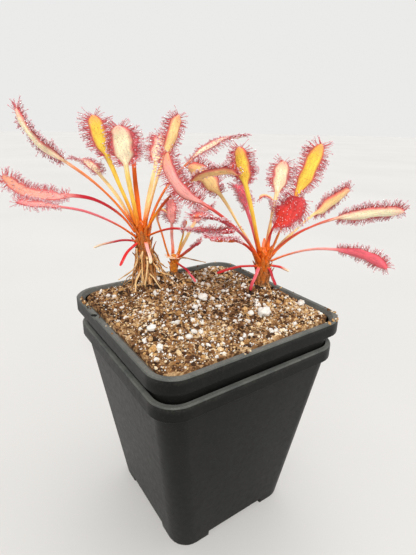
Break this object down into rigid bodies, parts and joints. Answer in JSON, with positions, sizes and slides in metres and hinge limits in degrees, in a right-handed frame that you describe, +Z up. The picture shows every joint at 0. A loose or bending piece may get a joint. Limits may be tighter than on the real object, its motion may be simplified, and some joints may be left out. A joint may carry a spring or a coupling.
{
  "type": "potted sundew",
  "caption": "Carnivorous house plant with sticky tentacled strap leaves on short stems, rooted in peat and perlite in nested square nursery pots.",
  "frame": {"origin": "centre of the bottom of the whole plant's bounding box, on the surface the outer pot stands on", "axes": "+Z up; the pots' sides face along X and Y, and the two large rosettes stand apart along the diagonal from -X+Y to +X-Y"},
  "size_m": [0.162, 0.1132, 0.1813],
  "materials": {
    "pot_plastic": "satin, with pale scuffs along the rims",
    "peat": "matte",
    "perlite": "matte",
    "stem": "matte",
    "leaf": "satin",
    "tentacle": "satin",
    "dew": "gloss",
    "dead_leaf": "matte"
  },
  "bodies": {
    "root": {"outer_pot": "pot_plastic", "inner_pot": "pot_plastic", "potting_soil": "peat", "perlite_01": "perlite", "perlite_02": "perlite", "perlite_03": "perlite", "perlite_04": "perlite", "dead_strand_01": "dead_leaf", "dead_strand_02": "dead_leaf", "dead_strand_03": "dead_leaf", "dead_strand_04": "dead_leaf", "dead_strand_05": "dead_leaf", "left_crown": "stem", "left_leaf_01": "leaf", "left_leaf_02": "leaf", "left_leaf_03": "leaf", "left_leaf_04": "leaf", "left_leaf_05": "leaf", "left_leaf_06": "leaf", "left_leaf_07": "leaf", "left_leaf_08": "leaf", "left_leaf_09": "leaf", "left_leaf_10": "leaf", "left_leaf_11": "leaf", "left_leaf_12": "leaf", "left_leaf_13": "leaf", "left_cut_stalk_01": "leaf", "left_cut_stalk_02": "leaf", "left_cut_stalk_03": "leaf", "right_crown": "stem", "right_leaf_01": "leaf", "right_leaf_02": "leaf", "right_leaf_03": "leaf", "right_leaf_04": "leaf", "right_leaf_05": "leaf", "right_leaf_06": "leaf", "right_leaf_07": "leaf", "right_leaf_08": "leaf", "right_leaf_09": "leaf", "right_leaf_10": "leaf", "right_leaf_11": "leaf", "right_leaf_12": "leaf", "right_leaf_13": "leaf", "right_leaf_14": "leaf", "right_cut_stalk_01": "leaf", "right_cut_stalk_02": "leaf", "right_cut_stalk_03": "leaf", "right_cut_stalk_04": "leaf", "plantlet_crown": "stem", "plantlet_leaf_01": "leaf", "plantlet_leaf_02": "leaf", "plantlet_leaf_03": "leaf", "plantlet_leaf_04": "leaf", "plantlet_leaf_05": "leaf", "plantlet_leaf_06": "leaf", "plantlet_leaf_07": "leaf"}
  },
  "joints": []
}
